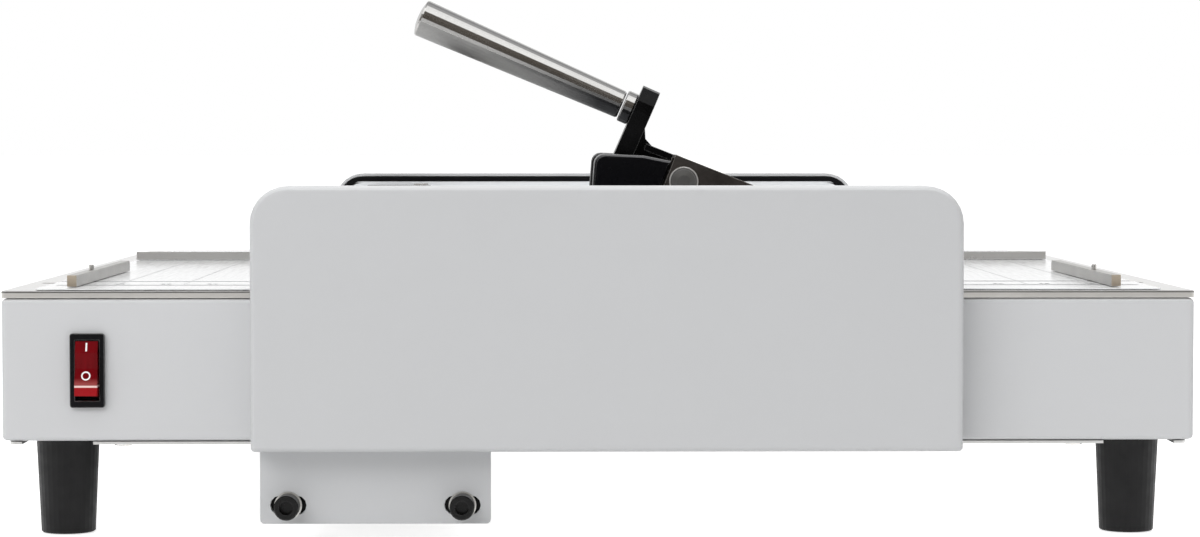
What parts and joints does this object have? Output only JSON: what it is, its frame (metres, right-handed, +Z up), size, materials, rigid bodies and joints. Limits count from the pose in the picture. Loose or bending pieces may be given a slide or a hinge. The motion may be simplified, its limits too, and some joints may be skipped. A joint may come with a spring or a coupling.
{
  "type": "booklet maker",
  "caption": "Desktop booklet maker: sheet table with sliding end stops, staplers under a shared press handle and a folding knife over driven rollers, between fixed side covers.",
  "frame": {"origin": "centre of the outer box at the level the feet stand on", "axes": "+Z up, -Y towards the side with the power switch, +X along the sheet table away from the folding unit"},
  "size_m": [0.5, 0.494, 0.232],
  "materials": {
    "housing_paint": "light grey textured powder coat",
    "cover_paint": "light grey powder coat",
    "tray_steel": "brushed stainless sheet, warm grey",
    "fence_steel": "satin stainless sheet",
    "panel_paint": "white satin coat",
    "plate_paint": "grey powder coat",
    "foot_rubber": "black rubber",
    "trim_plastic": "black",
    "black_plastic": "black satin",
    "black_casting": "black enamel on a casting",
    "handle_steel": "turned and polished",
    "lever_steel": "blackened sheet with bright cut edges",
    "black_oxide": "black oxide",
    "red_plastic": "red, translucent look",
    "zinc_steel": "zinc-plated sheet",
    "bright_steel": "ground bright",
    "stop_aluminium": "anodised, warm grey",
    "roller_rubber": "black ground rubber",
    "motor_steel": "dark plated can"
  },
  "bodies": {
    "base": {"base_housing": "housing_paint", "bottom_frame": "zinc_steel", "bottom_plate": "zinc_steel", "foot_front_left": "foot_rubber", "foot_front_right": "foot_rubber", "foot_rear_left": "foot_rubber", "foot_rear_right": "foot_rubber", "table_plate": "tray_steel", "surface_panel": "panel_paint", "rear_fence_left": "fence_steel", "rear_fence_right": "fence_steel", "front_side_plate": "plate_paint", "rear_side_plate": "plate_paint", "front_cover": "cover_paint", "rear_cover": "cover_paint", "front_cover_trim": "trim_plastic", "rear_cover_trim": "trim_plastic", "pivot_shaft": "bright_steel", "anvil_front": "bright_steel", "anvil_rear": "bright_steel", "anvil_beam": "zinc_steel", "switch_bezel": "black_plastic", "power_inlet": "black_plastic", "fold_motor": "motor_steel", "knife_motor": "motor_steel", "tie_bolt_left": "black_oxide", "tie_bolt_right": "black_oxide", "exit_guide_left": "zinc_steel", "exit_guide_right": "zinc_steel", "guide_rod_front": "bright_steel", "guide_rod_rear": "bright_steel", "front_bearing_plate": "zinc_steel", "rear_bearing_plate": "zinc_steel"},
    "press_lever": {"press_lever_front": "lever_steel", "press_lever_rear": "lever_steel", "handle_bracket": "black_casting", "handle_collar": "handle_steel", "handle_grip": "handle_steel", "press_bar": "bright_steel"},
    "stapler_front": {"stapler_head_front": "black_plastic", "magazine_front": "zinc_steel"},
    "stapler_rear": {"stapler_head_rear": "black_plastic", "magazine_rear": "zinc_steel"},
    "driver_front": {"driver_front": "bright_steel"},
    "driver_rear": {"driver_rear": "bright_steel"},
    "roller_right": {"fold_roller_right": "roller_rubber", "roller_gear_right": "bright_steel"},
    "roller_left": {"fold_roller_left": "roller_rubber", "roller_gear_left": "bright_steel"},
    "drive_gear": {"drive_gear": "bright_steel"},
    "knife": {"fold_knife": "bright_steel", "knife_beam": "black_casting"},
    "pinion_shaft": {"pinion_shaft": "bright_steel"},
    "stop_left": {"end_stop_left": "stop_aluminium", "stop_screw_left": "bright_steel", "stop_slider_left": "black_plastic"},
    "stop_right": {"end_stop_right": "stop_aluminium", "stop_screw_right": "bright_steel", "stop_slider_right": "black_plastic"},
    "switch_rocker": {"switch_rocker": "red_plastic"}
  },
  "joints": [
    {"name": "press_lever_hinge", "type": "hinge", "parent": "base", "child": "press_lever", "pos_m": [0.118, -0.075, 0.1184], "axis": [0, -1, 0], "range_deg": [0, 9], "stiffness_Nm_per_rad": 7, "springref_deg": -20.05},
    {"name": "stapler_front_hinge", "type": "hinge", "parent": "base", "child": "stapler_front", "pos_m": [0.118, -0.1375, 0.1184], "axis": [0, -1, 0], "range_deg": [0, 4]},
    {"name": "driver_front_slide", "type": "slide", "parent": "stapler_front", "child": "driver_front", "axis": [0, 0, -1], "range_m": [0, 0.0099]},
    {"name": "stapler_rear_hinge", "type": "hinge", "parent": "base", "child": "stapler_rear", "pos_m": [0.118, -0.0125, 0.1184], "axis": [0, -1, 0], "range_deg": [0, 4]},
    {"name": "driver_rear_slide", "type": "slide", "parent": "stapler_rear", "child": "driver_rear", "axis": [0, 0, -1], "range_m": [0, 0.0099]},
    {"name": "roller_right_spin", "type": "hinge", "parent": "base", "child": "roller_right", "pos_m": [-0.08185, 0, 0.0857], "axis": [0, 1, 0], "continuous": true},
    {"name": "roller_left_spin", "type": "hinge", "parent": "base", "child": "roller_left", "pos_m": [-0.10815, 0, 0.0857], "axis": [0, 1, 0], "continuous": true},
    {"name": "drive_gear_spin", "type": "hinge", "parent": "base", "child": "drive_gear", "pos_m": [-0.05015, -0.23, 0.07289], "axis": [0, 1, 0], "continuous": true},
    {"name": "knife_slide", "type": "slide", "parent": "base", "child": "knife", "axis": [0, 0, -1], "range_m": [0, 0.024]},
    {"name": "pinion_shaft_spin", "type": "hinge", "parent": "base", "child": "pinion_shaft", "pos_m": [-0.13, 0, 0.0857], "axis": [0, 1, 0], "range_deg": [0, 229.2]},
    {"name": "stop_left_slide", "type": "slide", "parent": "base", "child": "stop_left", "axis": [1, 0, 0], "range_m": [-0.017, 0.07]},
    {"name": "stop_right_slide", "type": "slide", "parent": "base", "child": "stop_right", "axis": [-1, 0, 0], "range_m": [-0.017, 0.07]},
    {"name": "switch_rocker_tilt", "type": "hinge", "parent": "base", "child": "switch_rocker", "pos_m": [-0.2138, -0.2253, 0.071], "axis": [1, 0, 0], "range_deg": [0, 18]}
  ],
  "couplings": [
    {"joint": "stapler_front_hinge", "follows": "press_lever_hinge", "ratio": 0.44444},
    {"joint": "driver_front_slide", "follows": "press_lever_hinge", "m_per_rad": 0.063},
    {"joint": "stapler_rear_hinge", "follows": "press_lever_hinge", "ratio": 0.44444},
    {"joint": "driver_rear_slide", "follows": "press_lever_hinge", "m_per_rad": 0.063},
    {"joint": "roller_left_spin", "follows": "roller_right_spin", "ratio": -1},
    {"joint": "drive_gear_spin", "follows": "roller_right_spin", "ratio": -0.625},
    {"joint": "pinion_shaft_spin", "follows": "knife_slide", "rad_per_m": 166.67}
  ]
}
